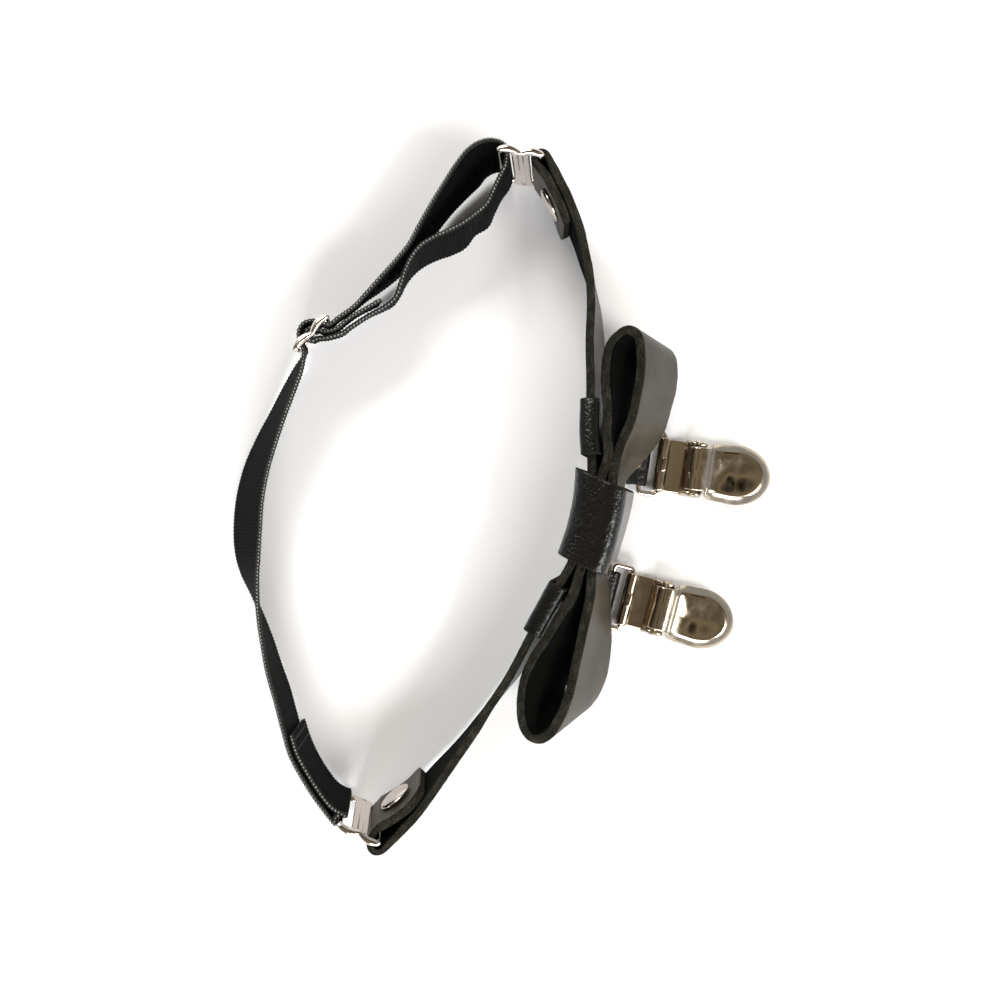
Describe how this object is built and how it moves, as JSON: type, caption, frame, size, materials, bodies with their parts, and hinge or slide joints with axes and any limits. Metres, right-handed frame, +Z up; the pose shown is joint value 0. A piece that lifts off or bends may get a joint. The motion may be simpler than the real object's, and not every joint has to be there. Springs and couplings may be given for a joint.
{
  "type": "thigh harness",
  "caption": "Black leather thigh harness with a front bow, adjustable elastic back and hinged garter clips, lying open as a ring.",
  "frame": {"origin": "middle of the harness's box, on the surface it lies on", "axes": "+Z up, -Y to the front where the bow and clips are, +X to the side with the slider"},
  "size_m": [0.1938, 0.1564, 0.0315],
  "materials": {
    "strap_leather": "black finished leather with a fibrous cut edge, satin",
    "glossy_leather": "black grained leather, glossy",
    "elastic": "ribbed black elastic webbing, matt",
    "bright_nickel": "bright nickel plating",
    "clip_nickel": "polished nickel plating, warm"
  },
  "bodies": {
    "harness": {"leather_strap": "strap_leather", "bow": "strap_leather", "bow_knot": "glossy_leather", "elastic_band": "elastic", "connector_left": "bright_nickel", "connector_right": "bright_nickel", "slider": "bright_nickel", "strap_rivet_left": "bright_nickel", "strap_rivet_right": "bright_nickel", "clip_hanger_left": "glossy_leather", "clip_hanger_right": "glossy_leather", "hanger_rivet_left": "bright_nickel", "hanger_rivet_right": "bright_nickel", "ring_left": "bright_nickel", "ring_right": "bright_nickel", "clip_body_left": "clip_nickel", "clip_body_right": "clip_nickel"},
    "lever_left": {"clip_lever_left": "clip_nickel"},
    "lever_right": {"clip_lever_right": "clip_nickel"}
  },
  "joints": [
    {"name": "lever_left_hinge", "type": "hinge", "parent": "harness", "child": "lever_left", "pos_m": [-0.03244, -0.04601, 0.0039], "axis": [-0.9677, 0.2521, 0], "range_deg": [0, 90]},
    {"name": "lever_right_hinge", "type": "hinge", "parent": "harness", "child": "lever_right", "pos_m": [0.00784, -0.05631, 0.0039], "axis": [-0.989, 0.1478, 0], "range_deg": [0, 90]}
  ]
}
